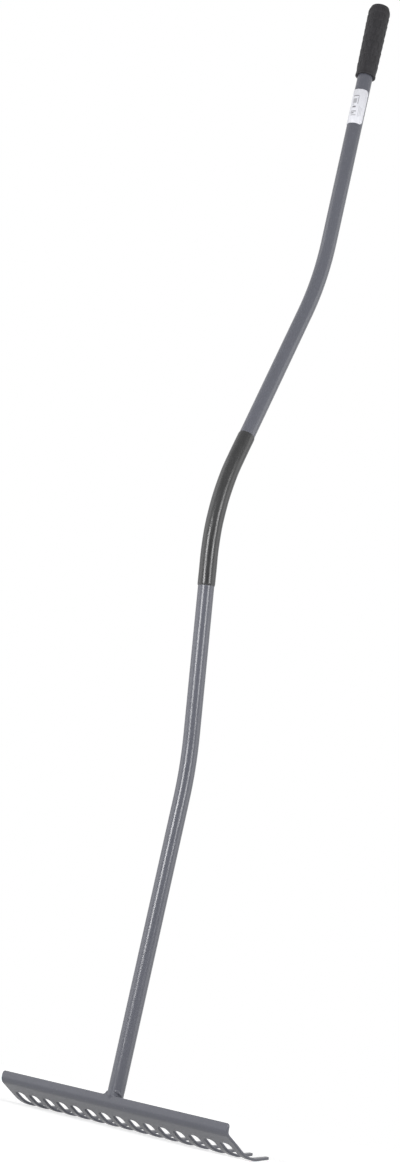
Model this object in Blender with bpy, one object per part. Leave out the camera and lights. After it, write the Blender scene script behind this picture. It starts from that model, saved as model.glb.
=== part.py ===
"""Garden rake with a cranked tubular shaft, for Blender 4.5.

The rake is drawn upright. Its foot frame has the shaft's axis at x = 0, y = 0 and the top edge of the
head's flange at z = 0, with X across the head, +Y the way the tines point and Z up the shaft. An empty
then carries everything so that the middle of the end grip, where a hand holds the rake up, is the origin.
All sizes are in metres, all angles in degrees.
"""

import math

import bmesh
import bpy
from mathutils import Vector

# Shaft: one steel tube with three bends in the plane x = 0
TUBE_DIAMETER = 0.022
TUBE_WALL = 0.0015
TUBE_SIDES = 24
LOWER_LEAN = 9.9
UPPER_LEAN = 15.9
FOOT_STRAIGHT = 0.390
LOWER_STRAIGHT = 0.234
UPPER_STRAIGHT = 0.254
TOP_STRAIGHT = 0.369
FOOT_BEND_RADIUS = 0.500
MIDDLE_BEND_RADIUS = 0.325
TOP_BEND_RADIUS = 0.420
DEGREES_PER_BEND_STEP = 3.0

# Head: one blank of sheet steel, pressed into a flange, a sloping blade and curved tines
TINE_COUNT = 16
TINE_PITCH = 0.02725
SHEET = 0.0035
FLANGE_SETBACK = 0.008
FLANGE_STRAIGHT = 0.0081
FLANGE_BEND_RADIUS = 0.008
FLANGE_CORNER_RADIUS = 0.0045
BLADE_DROP = 27.7
BLADE_STRAIGHT = 0.0315
ROOT_START = 0.0162
ROOT_CORNER_RADIUS = 0.0055
TINE_BASE_WIDTH = 0.0108
TINE_TIP_WIDTH = 0.006
TINE_CURVE_RADIUS = 0.053
TINE_LIFT = 11.5
TIP_STRAIGHT = 0.0195
TIP_CHAMFER = 0.0012
EDGE_BREAK = 0.0005

# Shaft's foot: coped round the flange and welded to it and to the blade
CLEARANCE = 0.0003
EDGE_WELD_HEIGHT = 0.0035
EDGE_WELD_CLIMB = 0.0055
EDGE_WELD_RUN = 0.004
FOOT_WELD_RADIUS = 0.0019
FOOT_WELD_PAST_SIDE = 8.0
WELD_RIPPLE = 0.06
FOOT_WELD_STEPS = 24

# Hand sleeve shrunk over the middle bend, its middle a little above the bend's
SLEEVE_LENGTH = 0.222
SLEEVE_WALL = 0.0007
SLEEVE_ABOVE_BEND = 0.002

# End grip pushed over the top of the shaft
GRIP_LENGTH = 0.114
GRIP_OPEN_RADIUS = 0.0142
GRIP_SHOULDER_RADIUS = 0.0155
GRIP_END_WALL = 0.0045
GRIP_LIP_RISE = 0.0006
GRIP_LIP_LENGTH = 0.004
GRIP_CAP_LENGTH = 0.0125
GRIP_CAP_RADIUS = 0.0134
GRIP_CORNER_RADIUS = 0.0014
GRIP_CROWN_RISE = 0.002
PAD_COLUMNS = 12
PAD_ROWS = 8
PAD_MARGIN = 0.005
PAD_RISE = 0.0006

# Paper label wrapped round the back of the shaft, below the grip
LABEL_GAP = 0.0246
LABEL_LENGTH = 0.0535
LABEL_WIDTH = 0.040
LABEL_THICKNESS = 0.00025

# Sizes that follow
TUBE_RADIUS = TUBE_DIAMETER / 2
BORE_RADIUS = TUBE_RADIUS - TUBE_WALL
HEAD_HALF_WIDTH = (TINE_COUNT - 1) * TINE_PITCH / 2 + TINE_BASE_WIDTH / 2


def make_material(name, colour, roughness, metallic):
    """A Principled material in the part's own colour, which is linear RGB."""
    material = bpy.data.materials.new(name)
    material.use_nodes = True
    shader = material.node_tree.nodes["Principled BSDF"]
    shader.inputs["Base Color"].default_value = (*colour, 1.0)
    shader.inputs["Roughness"].default_value = roughness
    shader.inputs["Metallic"].default_value = metallic
    material.diffuse_color = (*colour, 1.0)
    return material


def add_object(name, mesh_builder, material, parent):
    """Turns a bmesh into a named object under the parent, shaded smooth with sharp edges kept."""
    bmesh.ops.recalc_face_normals(mesh_builder, faces=mesh_builder.faces)
    mesh = bpy.data.meshes.new(name)
    mesh_builder.to_mesh(mesh)
    mesh_builder.free()
    mesh.shade_smooth()
    mesh.set_sharp_from_angle(angle=math.radians(35))
    mesh.materials.append(material)
    piece = bpy.data.objects.new(name, mesh)
    bpy.context.collection.objects.link(piece)
    piece.parent = parent
    return piece


def add_cutter(name, mesh_builder, parent):
    """A closed shape that only cuts: the build leaves it out."""
    bmesh.ops.recalc_face_normals(mesh_builder, faces=mesh_builder.faces)
    mesh = bpy.data.meshes.new(name)
    mesh_builder.to_mesh(mesh)
    mesh_builder.free()
    cutter = bpy.data.objects.new(name, mesh)
    bpy.context.collection.objects.link(cutter)
    cutter.parent = parent
    cutter.display_type = "WIRE"
    cutter.hide_render = True
    return cutter


def cut_with(piece, cutter):
    """Subtracts a cutter from a piece."""
    cut = piece.modifiers.new(cutter.name, "BOOLEAN")
    cut.operation = "DIFFERENCE"
    cut.solver = "EXACT"
    cut.object = cutter


def run_path(pieces, start, heading):
    """Follows straights and bends in the YZ plane.

    pieces holds ("straight", length) and ("bend", radius, degrees); heading is the angle of travel from +Z
    towards +Y. Returns stations (distance, y, z, heading), a bend being stepped finely.
    """
    distance, (y, z), angle = 0.0, start, math.radians(heading)
    stations = [(distance, y, z, angle)]
    for piece in pieces:
        if piece[0] == "straight":
            length = piece[1]
            distance += length
            y += length * math.sin(angle)
            z += length * math.cos(angle)
            stations.append((distance, y, z, angle))
            continue
        radius, turn = piece[1], math.radians(piece[2])
        steps = max(2, round(abs(piece[2]) / DEGREES_PER_BEND_STEP))
        side = math.copysign(1.0, turn)
        centre_y = y + side * radius * math.cos(angle)
        centre_z = z - side * radius * math.sin(angle)
        for step in range(1, steps + 1):
            now = angle + turn * step / steps
            stations.append(
                (
                    distance + radius * abs(turn) * step / steps,
                    centre_y - side * radius * math.cos(now),
                    centre_z + side * radius * math.sin(now),
                    now,
                )
            )
        distance, y, z, angle = stations[-1]
    return stations


def stations_between(stations, first, last):
    """The stations from one distance to another, with both ends worked out exactly."""

    def at(distance):
        for before, after in zip(stations, stations[1:]):
            if distance <= after[0]:
                share = (distance - before[0]) / (after[0] - before[0])
                return tuple(a + (b - a) * share for a, b in zip(before, after))
        return stations[-1]

    inside = [s for s in stations if first + 0.001 < s[0] < last - 0.001]
    return [at(first), *inside, at(last)]


def shaft_stations():
    """The shaft's centreline from its foot to its top end."""
    return run_path(
        [
            ("straight", FOOT_STRAIGHT),
            ("bend", FOOT_BEND_RADIUS, -LOWER_LEAN),
            ("straight", LOWER_STRAIGHT),
            ("bend", MIDDLE_BEND_RADIUS, LOWER_LEAN + UPPER_LEAN),
            ("straight", UPPER_STRAIGHT),
            ("bend", TOP_BEND_RADIUS, -UPPER_LEAN),
            ("straight", TOP_STRAIGHT),
        ],
        start=(0.0, 0.0),
        heading=0.0,
    )


def head_profile():
    """The middle of the sheet in the YZ plane, from the flange's top edge down and out to a tine's tip."""
    return run_path(
        [
            ("straight", FLANGE_STRAIGHT),
            ("bend", FLANGE_BEND_RADIUS, BLADE_DROP - 90),
            ("straight", BLADE_STRAIGHT),
            ("bend", TINE_CURVE_RADIUS, -BLADE_DROP - TINE_LIFT),
            ("straight", TIP_STRAIGHT),
        ],
        start=(-FLANGE_SETBACK, 0.0),
        heading=180.0,
    )


def sweep_pipe(stations, outer_radius, inner_radius, sides):
    """A pipe along stations in the YZ plane, with square ends."""
    pipe = bmesh.new()
    rings = {outer_radius: [], inner_radius: []}
    for radius, ring_list in rings.items():
        for _, y, z, angle in stations:
            across = Vector((0.0, math.cos(angle), -math.sin(angle)))
            ring = []
            for side in range(sides):
                turn = 2 * math.pi * side / sides
                offset = Vector((math.cos(turn), 0.0, 0.0)) + across * math.sin(turn)
                ring.append(pipe.verts.new(Vector((0.0, y, z)) + offset * radius))
            ring_list.append(ring)
        for low, high in zip(ring_list, ring_list[1:]):
            bridge_rings(pipe, low, high)
    for end in (0, -1):
        bridge_rings(pipe, rings[outer_radius][end], rings[inner_radius][end])
    return pipe


def bridge_rings(mesh_builder, low, high):
    """Quads between two closed rings of as many vertices."""
    count = len(low)
    for side in range(count):
        after = (side + 1) % count
        mesh_builder.faces.new((low[side], low[after], high[after], high[side]))


def tine_centre(number):
    """How far across the head a tine stands."""
    return (number - (TINE_COUNT - 1) / 2) * TINE_PITCH


def build_head(material, parent):
    """The pressed blank: flange, bend, blade with round gap roots, and tapering curved tines."""
    profile = head_profile()
    bend_end = FLANGE_STRAIGHT + FLANGE_BEND_RADIUS * math.radians(90 - BLADE_DROP)
    root_line = bend_end + ROOT_START + ROOT_CORNER_RADIUS
    tip_line = profile[-1][0]
    sheet = bmesh.new()

    def place(x, distance):
        _, y, z, _ = stations_between(profile, distance, tip_line)[0]
        return sheet.verts.new((x, y, z))

    def edge_pair(distance):
        return place(-HEAD_HALF_WIDTH, distance), place(HEAD_HALF_WIDTH, distance)

    # Flange, with rounded top corners
    flange_end = edge_pair(FLANGE_STRAIGHT)
    corner_steps = 4
    corner = []
    for sign in (1, -1):
        centre_x = HEAD_HALF_WIDTH - FLANGE_CORNER_RADIUS
        arc = []
        for step in range(corner_steps + 1):
            turn = math.pi / 2 * step / corner_steps
            x = sign * (centre_x + FLANGE_CORNER_RADIUS * math.cos(turn))
            arc.append(place(x, FLANGE_CORNER_RADIUS * (1 - math.sin(turn))))
        corner += arc if sign > 0 else arc[::-1]
    sheet.faces.new([flange_end[0], flange_end[1], *corner])

    # Bend between flange and blade
    above = flange_end
    for station in profile:
        if FLANGE_STRAIGHT + 1e-6 < station[0] < bend_end + 1e-6:
            below = edge_pair(station[0])
            sheet.faces.new([above[0], above[1], below[1], below[0]])
            above = below

    # Flat of the blade, down to the line where the gap roots end
    bases = []
    for number in range(TINE_COUNT):
        centre = tine_centre(number)
        bases.append(
            (
                place(centre - TINE_BASE_WIDTH / 2, root_line),
                place(centre + TINE_BASE_WIDTH / 2, root_line),
            )
        )
    outline = [above[1], above[0]]
    root_steps = 4
    for number in range(TINE_COUNT):
        outline += bases[number]
        if number == TINE_COUNT - 1:
            break
        gap_centre = tine_centre(number) + TINE_PITCH / 2
        flat = (TINE_PITCH - TINE_BASE_WIDTH) / 2 - ROOT_CORNER_RADIUS
        for side in (-1, 1):
            for step in range(1, root_steps + 1):
                share = step / root_steps if side < 0 else 1 - (step - 1) / root_steps
                turn = math.pi / 2 * share
                x = gap_centre + side * (flat + ROOT_CORNER_RADIUS * math.cos(turn))
                outline.append(place(x, root_line - ROOT_CORNER_RADIUS * math.sin(turn)))
    sheet.faces.new(outline)

    # Tines
    rows = [s[0] for s in profile if s[0] > root_line + 1e-6]
    for number in range(TINE_COUNT):
        centre = tine_centre(number)
        left, right = bases[number]
        for distance in rows:
            share = (distance - root_line) / (tip_line - root_line)
            half = (
                TINE_BASE_WIDTH + (TINE_TIP_WIDTH - TINE_BASE_WIDTH) * share
            ) / 2
            if distance < tip_line:
                new_left, new_right = (
                    place(centre - half, distance),
                    place(centre + half, distance),
                )
                sheet.faces.new([left, right, new_right, new_left])
                left, right = new_left, new_right
                continue
            shoulder = distance - TIP_CHAMFER
            sheet.faces.new(
                [
                    left,
                    right,
                    place(centre + half, shoulder),
                    place(centre + half - TIP_CHAMFER, distance),
                    place(centre - half + TIP_CHAMFER, distance),
                    place(centre - half, shoulder),
                ]
            )

    head = add_object("rake_head", sheet, material, parent)
    thick = head.modifiers.new("Sheet", "SOLIDIFY")
    thick.thickness = SHEET
    thick.offset = 0.0
    thick.use_even_offset = True
    broken = head.modifiers.new("Broken edges", "BEVEL")
    broken.width = EDGE_BREAK
    broken.segments = 1
    broken.limit_method = "ANGLE"
    broken.angle_limit = math.radians(60)
    return head


def sheet_face(offset, last_y):
    """The YZ line at an offset from the middle of the sheet towards the tines' hollow side."""
    line = []
    for _, y, z, angle in head_profile():
        side_y, side_z = -math.cos(angle), math.sin(angle)
        line.append((y + side_y * offset, z + side_z * offset))
        if line[-1][0] > last_y:
            break
    return line


def build_shaft(material, parent, stations):
    """The bent tube, its foot cut to stand over the flange's edge and on the blade behind it."""
    foot_reach = FLANGE_STRAIGHT + FLANGE_BEND_RADIUS + TUBE_DIAMETER
    longer = [(-foot_reach, 0.0, -foot_reach, 0.0), *stations[1:]]
    tube = sweep_pipe(longer, TUBE_RADIUS, BORE_RADIUS, TUBE_SIDES)
    shaft = add_object("shaft_tube", tube, material, parent)

    # A prism of all that lies outside the sheet's hollow face, up to the top of the weld on its edge
    seat = sheet_face(SHEET / 2 + CLEARANCE, last_y=TUBE_DIAMETER)
    outer_y, below_z = -TUBE_DIAMETER, -2 * foot_reach
    cope_top = EDGE_WELD_HEIGHT + 2 * CLEARANCE
    outline = [
        (outer_y, cope_top),
        (seat[0][0], cope_top),
        *seat[1:],
        (seat[-1][0], below_z),
        (outer_y, below_z),
    ]
    prism = bmesh.new()
    half = TUBE_DIAMETER
    ends = [[prism.verts.new((x, y, z)) for y, z in outline] for x in (-half, half)]
    bridge_rings(prism, *ends)
    for end in ends:
        prism.faces.new(end)
    cut_with(shaft, add_cutter("foot_cope_cutter", prism, parent))
    return shaft


def build_edge_weld(material, parent):
    """The weld on the flange's top edge: flush under the shaft's front, climbing its two sides."""
    side = math.sqrt((TUBE_RADIUS + CLEARANCE) ** 2 - (FLANGE_SETBACK - SHEET / 2) ** 2)
    under_shaft = [(side * share, EDGE_WELD_HEIGHT, SHEET) for share in (0.0, 0.4, 0.8, 0.97)]
    run_out = []
    for share in (0.0, 0.2, 0.45, 0.75, 1.0):
        height = EDGE_WELD_CLIMB * (1 - 0.9 * share) ** 1.5
        width = SHEET * (1 - 0.5 * share**2)
        run_out.append((side + EDGE_WELD_RUN * share, height, width))
    right = under_shaft + run_out
    left = [(-x, height, width) for x, height, width in reversed(right[1:])]
    bead = bmesh.new()
    rings = []
    sides = 12
    for x, height, width in left + right:
        ring = []
        for corner in range(sides):
            turn = 2 * math.pi * corner / sides
            y = -FLANGE_SETBACK + width / 2 * math.cos(turn)
            z = CLEARANCE + height / 2 * (1 + math.sin(turn))
            ring.append(bead.verts.new((x, y, z)))
        rings.append(ring)
    for low, high in zip(rings, rings[1:]):
        bridge_rings(bead, low, high)
    for end in (rings[0], rings[-1]):
        bead.faces.new(end)
    return add_object("edge_weld", bead, material, parent)


def build_foot_weld(material, parent):
    """A rippled bead in the corner between the shaft's foot and the blade's hollow face."""
    slope = math.radians(BLADE_DROP)
    off = FOOT_WELD_RADIUS * (1 + WELD_RIPPLE) + CLEARANCE
    ring_radius = TUBE_RADIUS + off
    flat_y, flat_z = sheet_face(SHEET / 2, last_y=TUBE_DIAMETER)[-1]
    first = -math.radians(FOOT_WELD_PAST_SIDE)
    last = math.pi - first
    bead = bmesh.new()
    rings = []
    sides = 8
    for step in range(FOOT_WELD_STEPS + 1):
        turn = first + (last - first) * step / FOOT_WELD_STEPS
        outward = Vector((math.cos(turn), math.sin(turn), 0.0))
        centre = outward * ring_radius
        centre.z = flat_z - math.tan(slope) * (centre.y - flat_y) + off / math.cos(slope)
        ripple = 1 + WELD_RIPPLE * (1 if step % 2 else -1)
        ring = []
        for side in range(sides):
            around = 2 * math.pi * side / sides
            offset = outward * math.cos(around) + Vector((0, 0, 1)) * math.sin(around)
            ring.append(bead.verts.new(centre + offset * FOOT_WELD_RADIUS * ripple))
        rings.append(ring)
    for low, high in zip(rings, rings[1:]):
        bridge_rings(bead, low, high)
    for end in (rings[0], rings[-1]):
        bead.faces.new(end)
    return add_object("foot_weld", bead, material, parent)


def grip_radius(height):
    """The grip's outer radius without its pads, from its open end at height 0 to its closed end."""
    shoulder = GRIP_LENGTH - GRIP_CAP_LENGTH
    if height <= shoulder:
        radius = (
            GRIP_OPEN_RADIUS
            + (GRIP_SHOULDER_RADIUS - GRIP_OPEN_RADIUS) * height / shoulder
        )
        lip = max(0.0, 1 - height / GRIP_LIP_LENGTH)
        return radius + GRIP_LIP_RISE * lip
    share = (height - shoulder) / (cap_corner_height() - shoulder)
    return (
        GRIP_SHOULDER_RADIUS
        + (GRIP_CAP_RADIUS - GRIP_SHOULDER_RADIUS) * share**1.5
    )


def cap_corner_height():
    """The height where the cap's side ends and its rounded corner starts."""
    return GRIP_LENGTH - GRIP_CROWN_RISE - GRIP_CORNER_RADIUS


def grip_rings():
    """The grip's outer rings as (height, row number), raised to a pad's height where a row is given."""
    shoulder = GRIP_LENGTH - GRIP_CAP_LENGTH
    first, last = GRIP_LIP_LENGTH + PAD_MARGIN, shoulder - PAD_MARGIN
    row_height = (last - first) / PAD_ROWS
    rings = [(0.0, None), (GRIP_LIP_LENGTH, None)]
    for row in range(PAD_ROWS):
        for share, raised in ((0.08, False), (0.24, True), (0.76, True), (0.92, False)):
            rings.append((first + (row + share) * row_height, row if raised else None))
    cap_steps = 4
    for step in range(cap_steps + 1):
        height = shoulder + (cap_corner_height() - shoulder) * step / cap_steps
        rings.append((height, None))
    return rings


def build_grip(material, parent, stations):
    """The closed rubber grip: a flared body with staggered rows of raised pads, and a domed cap."""
    columns = PAD_COLUMNS * 4
    grip = bmesh.new()

    def ring(radius_at, height):
        circle = []
        for column in range(columns):
            turn = 2 * math.pi * column / columns
            radius = radius_at(column)
            circle.append(
                grip.verts.new(
                    (radius * math.cos(turn), radius * math.sin(turn), height)
                )
            )
        return circle

    outer = []
    for height, row in grip_rings():
        plain = grip_radius(height)

        def radius_at(column, plain=plain, row=row):
            if row is None:
                return plain
            place_in_pad = (column + 2 * (row % 2)) % 4
            return plain + (PAD_RISE if place_in_pad in (1, 2) else 0.0)

        outer.append(ring(radius_at, height))
    for low, high in zip(outer, outer[1:]):
        bridge_rings(grip, low, high)

    # Rounded corner and shallow crown of the cap
    crown_radius = GRIP_CAP_RADIUS - GRIP_CORNER_RADIUS
    crown_base = GRIP_LENGTH - GRIP_CROWN_RISE
    rounding = []
    for turn in (math.radians(a) for a in (45, 90)):
        width = crown_radius + GRIP_CORNER_RADIUS * math.cos(turn)
        height = cap_corner_height() + GRIP_CORNER_RADIUS * math.sin(turn)
        rounding.append((width, height))
    for share in (0.66, 0.33):
        height = crown_base + GRIP_CROWN_RISE * (1 - share**2)
        rounding.append((crown_radius * share, height))
    crown = outer[-1]
    for width, height in rounding:
        above = ring(lambda column, width=width: width, height)
        bridge_rings(grip, crown, above)
        crown = above
    top = grip.verts.new((0.0, 0.0, GRIP_LENGTH))
    for column in range(columns):
        grip.faces.new((top, crown[column], crown[(column + 1) % columns]))

    # Bore
    bore_radius = TUBE_RADIUS + CLEARANCE
    mouth = ring(lambda column: bore_radius, 0.0)
    bottom = ring(lambda column: bore_radius, GRIP_LENGTH - GRIP_END_WALL)
    bridge_rings(grip, outer[0], mouth)
    bridge_rings(grip, mouth, bottom)
    centre = grip.verts.new((0.0, 0.0, GRIP_LENGTH - GRIP_END_WALL))
    for column in range(columns):
        grip.faces.new((centre, bottom[column], bottom[(column + 1) % columns]))

    piece = add_object("end_grip", grip, material, parent)
    _, y, z, _ = stations[-1]
    piece.location = (0.0, y, z + CLEARANCE + GRIP_END_WALL - GRIP_LENGTH)
    return piece


def build_sleeve(material, parent, stations):
    """The thin sleeve round the middle bend."""
    bend_length = MIDDLE_BEND_RADIUS * math.radians(LOWER_LEAN + UPPER_LEAN)
    foot_bend_length = FOOT_BEND_RADIUS * math.radians(LOWER_LEAN)
    bend_start = FOOT_STRAIGHT + foot_bend_length + LOWER_STRAIGHT
    middle = bend_start + bend_length / 2 + SLEEVE_ABOVE_BEND
    covered = stations_between(
        stations, middle - SLEEVE_LENGTH / 2, middle + SLEEVE_LENGTH / 2
    )
    inner = TUBE_RADIUS + CLEARANCE
    pipe = sweep_pipe(covered, inner + SLEEVE_WALL, inner, TUBE_SIDES)
    return add_object("hand_sleeve", pipe, material, parent)


def build_label(material, parent, stations):
    """A paper label bent round the back of the top straight, open towards the tines' side."""
    inner = TUBE_RADIUS + CLEARANCE
    half_turn = LABEL_WIDTH / inner / 2
    steps = 18
    _, y, top, _ = stations[-1]
    high = top + CLEARANCE + GRIP_END_WALL - GRIP_LENGTH - LABEL_GAP
    low = high - LABEL_LENGTH
    label = bmesh.new()
    rings = []
    for step in range(steps + 1):
        turn = -math.pi / 2 - half_turn + 2 * half_turn * step / steps
        across = Vector((math.cos(turn), math.sin(turn), 0.0))
        ring = []
        for radius, height in (
            (inner, low),
            (inner + LABEL_THICKNESS, low),
            (inner + LABEL_THICKNESS, high),
            (inner, high),
        ):
            ring.append(label.verts.new(across * radius + Vector((0.0, y, height))))
        rings.append(ring)
    for before, after in zip(rings, rings[1:]):
        bridge_rings(label, before, after)
    for end in (rings[0], rings[-1]):
        label.faces.new(end)
    return add_object("paper_label", label, material, parent)


def build_rake():
    """Every piece of the rake, under one empty that puts the middle of the grip at the origin."""
    for old in list(bpy.data.objects):
        bpy.data.objects.remove(old)
    stations = shaft_stations()
    _, top_y, top_z, _ = stations[-1]
    grip_middle = top_z + CLEARANCE + GRIP_END_WALL - GRIP_LENGTH / 2
    rake = bpy.data.objects.new("rake_frame", None)
    bpy.context.collection.objects.link(rake)
    rake.location = (0.0, -top_y, -grip_middle)

    paint = make_material("grey_paint", (0.115, 0.120, 0.133), 0.38, 0.0)
    rubber = make_material("black_rubber", (0.022, 0.022, 0.023), 0.65, 0.0)
    plastic = make_material("black_plastic", (0.030, 0.030, 0.031), 0.35, 0.0)
    paper = make_material("white_paper", (0.80, 0.80, 0.83), 0.55, 0.0)

    build_head(paint, rake)
    build_shaft(paint, rake, stations)
    build_edge_weld(paint, rake)
    build_foot_weld(paint, rake)
    build_sleeve(plastic, rake, stations)
    build_grip(rubber, rake, stations)
    build_label(paper, rake, stations)


build_rake()
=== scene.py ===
# %% [markdown]
# A garden rake with a cranked steel shaft
#
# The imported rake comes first. It is plain and faceted, but every piece is at its real size and in its real
# place, in metres, with the middle of the end grip as the origin. This lesson makes a finer surface for each
# piece, right where the plain one stands, gives it a material that starts from the real stuff it is made of,
# and ends with the camera and the studio light.

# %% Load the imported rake
import math

import bmesh
import bpy
import numpy as np
from mathutils import Matrix, Vector


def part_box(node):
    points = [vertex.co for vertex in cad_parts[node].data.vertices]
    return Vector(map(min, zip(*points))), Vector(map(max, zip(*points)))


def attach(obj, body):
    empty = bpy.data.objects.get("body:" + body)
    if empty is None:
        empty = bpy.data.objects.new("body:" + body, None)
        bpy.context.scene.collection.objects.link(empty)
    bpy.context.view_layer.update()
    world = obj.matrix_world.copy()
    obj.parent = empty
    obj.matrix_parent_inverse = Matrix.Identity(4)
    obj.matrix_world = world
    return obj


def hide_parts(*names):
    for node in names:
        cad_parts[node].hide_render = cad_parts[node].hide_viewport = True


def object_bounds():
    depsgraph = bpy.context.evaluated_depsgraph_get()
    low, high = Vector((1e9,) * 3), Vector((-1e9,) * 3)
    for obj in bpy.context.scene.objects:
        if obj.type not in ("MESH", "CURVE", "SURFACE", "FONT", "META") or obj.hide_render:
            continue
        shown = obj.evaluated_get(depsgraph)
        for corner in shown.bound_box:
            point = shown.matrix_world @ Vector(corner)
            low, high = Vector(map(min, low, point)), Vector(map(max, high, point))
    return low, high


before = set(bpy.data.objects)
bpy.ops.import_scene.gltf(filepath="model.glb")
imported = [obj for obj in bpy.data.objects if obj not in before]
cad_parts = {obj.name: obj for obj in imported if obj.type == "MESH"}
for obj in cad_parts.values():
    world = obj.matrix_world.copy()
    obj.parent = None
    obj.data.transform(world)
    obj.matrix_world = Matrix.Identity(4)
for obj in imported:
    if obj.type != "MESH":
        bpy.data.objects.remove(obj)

cad_low, cad_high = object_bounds()
MM = 0.001
print("the rake's box in mm:", [round(v / MM, 1) for v in cad_high - cad_low])

# %% [markdown]
# Where the foot stands
#
# The shaft stands on the top edge of the head's flange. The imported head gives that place: its top is the
# edge, and its front is the flange's outer face, with the middle of the sheet half a thickness further in.
# Front means towards -Y here, and the blade and the tines reach back, towards +Y.

# %% The foot and the sheet
SHEET = 3.5 * MM
FLANGE_SETBACK = 8 * MM
head_low, head_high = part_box("rake_head")
FOOT = Vector((0.0, head_low.y + SHEET / 2 + FLANGE_SETBACK, head_high.z))
print("the shaft's foot in mm:", [round(v / MM, 1) for v in FOOT])

# %% [markdown]
# Lines of straights and bends
#
# A tube bender and a press both make straights joined by true arcs. So the shaft and the head's section are
# written as lists of straights and bends, in the plane that runs through the middle of the rake, and not as
# free curves. Each line becomes a row of stations: how far along, where, and which way the line is heading.

# %% Stations along a line
def run_path(pieces, start, heading, degrees_per_step):
    """Stations (distance, y, z, heading) along straights and bends; heading runs from +Z towards +Y."""
    distance, (y, z), angle = 0.0, start, math.radians(heading)
    stations = [(distance, y, z, angle)]
    for piece in pieces:
        if piece[0] == "straight":
            distance += piece[1]
            y += piece[1] * math.sin(angle)
            z += piece[1] * math.cos(angle)
            stations.append((distance, y, z, angle))
            continue
        radius, turn = piece[1], math.radians(piece[2])
        side = math.copysign(1.0, turn)
        centre_y = y + side * radius * math.cos(angle)
        centre_z = z - side * radius * math.sin(angle)
        steps = math.ceil(abs(piece[2]) / degrees_per_step)
        for step in range(1, steps + 1):
            now = angle + turn * step / steps
            there = (centre_y - side * radius * math.cos(now), centre_z + side * radius * math.sin(now))
            stations.append((distance + radius * abs(turn) * step / steps, *there, now))
        distance, y, z, angle = stations[-1]
    return stations


def station_at(stations, distance):
    """The station at any distance, worked out between its two neighbours."""
    for before, after in zip(stations, stations[1:]):
        if distance <= after[0]:
            share = (distance - before[0]) / (after[0] - before[0])
            return tuple(a + (b - a) * share for a, b in zip(before, after))
    return stations[-1]


quarter_bend = run_path([("bend", 10 * MM, 90)], start=(0.0, 0.0), heading=0, degrees_per_step=45)
print("a quarter bend in steps of 45 degrees has", len(quarter_bend), "stations")

# %% The shaft's line
LOWER_LEAN = 9.9
UPPER_LEAN = 15.9
SHAFT_LINE = [
    ("straight", 390 * MM),
    ("bend", 500 * MM, -LOWER_LEAN),
    ("straight", 234 * MM),
    ("bend", 325 * MM, LOWER_LEAN + UPPER_LEAN),
    ("straight", 254 * MM),
    ("bend", 420 * MM, -UPPER_LEAN),
    ("straight", 369 * MM),
]
shaft_line = run_path(SHAFT_LINE, (FOOT.y, FOOT.z), heading=0.0, degrees_per_step=1.0)
shaft_length, top_y, top_z, _ = shaft_line[-1]
print("shaft length in mm:", round(shaft_length / MM), "and its end's height:", round(top_z / MM))

# %% [markdown]
# Helpers for materials
#
# Colours are written as sRGB hex values, the way a paint chart gives them, and one function turns them into
# the linear values that Blender works in. Another adds a node with its settings and its inputs; an input that
# isn't given keeps Blender's own value, such as 0 and 1 for the ends of a range. Inputs go by name, or by
# number where several share a name: a Mix node has a factor, two values and a result for every kind of value,
# and those for colours have the numbers below. Patterns are sized in millimetres: every piece has its place
# in its mesh, so object coordinates are metres here, and a noise with blotches of so many millimetres has a
# scale of one over that size.

# %% Helpers for materials
FACTOR, COLOUR_A, COLOUR_B, COLOUR_OUT = 0, 6, 7, 2


def linear(hex_colour):
    """Linear RGBA from an sRGB hex value."""
    values = [int(hex_colour[i : i + 2], 16) / 255 for i in (0, 2, 4)]
    return [v / 12.92 if v <= 0.04045 else ((v + 0.055) / 1.055) ** 2.4 for v in values] + [1.0]


def fill_inputs(tree, node, inputs):
    """Fills a node's inputs, by name or number: a node or a socket is linked, and a value is written in."""
    for key, value in inputs.items():
        if isinstance(value, bpy.types.Node):
            value = value.outputs[0]
        if isinstance(value, bpy.types.NodeSocket):
            tree.links.new(value, node.inputs[key])
        else:
            node.inputs[key].default_value = value


def add_node(tree, kind, inputs=None, **settings):
    """Adds a node with its settings and its inputs."""
    node = tree.nodes.new("ShaderNode" + kind)
    for name, value in settings.items():
        setattr(node, name, value)
    fill_inputs(tree, node, inputs or {})
    return node


def new_material(name, shader_values):
    """A material's node tree, its Principled shader and the object coordinates that patterns start from."""
    material = bpy.data.materials.new(name)
    material.use_nodes = True
    tree = material.node_tree
    shader = tree.nodes["Principled BSDF"]
    fill_inputs(tree, shader, shader_values)
    return material, tree, shader, add_node(tree, "TexCoord").outputs["Object"]


print("a mid grey is", round(linear("808080")[0], 3), "in linear light")

# %% [markdown]
# Powder-coated steel
#
# Head, shaft and welds went through one powder booth together: dry polyester powder is sprayed on, then
# baked until it flows. That leaves a satin grey skin that is a little pebbled, called orange peel, with waves
# a millimetre or two across and a few thousandths of a millimetre deep. The coat is a plastic over the steel,
# so it isn't metallic and keeps the IOR of plastics. Peel that fine would vanish at arm's length, so a wider
# and very shallow wave is laid under it, which is what stirs the long reflections down the shaft. The tone
# drifts a little along the tube, as the thickness of the powder does, and small paler flecks lie over it.

# %% Powder coat
DRIFT_SIZE = 40 * MM
FLECK_SIZE = 2.5 * MM
WAVE_SIZE, WAVE_DEPTH = 9 * MM, 0.035 * MM
PEEL_SIZE, PEEL_DEPTH = 1.6 * MM, 0.006 * MM


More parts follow.
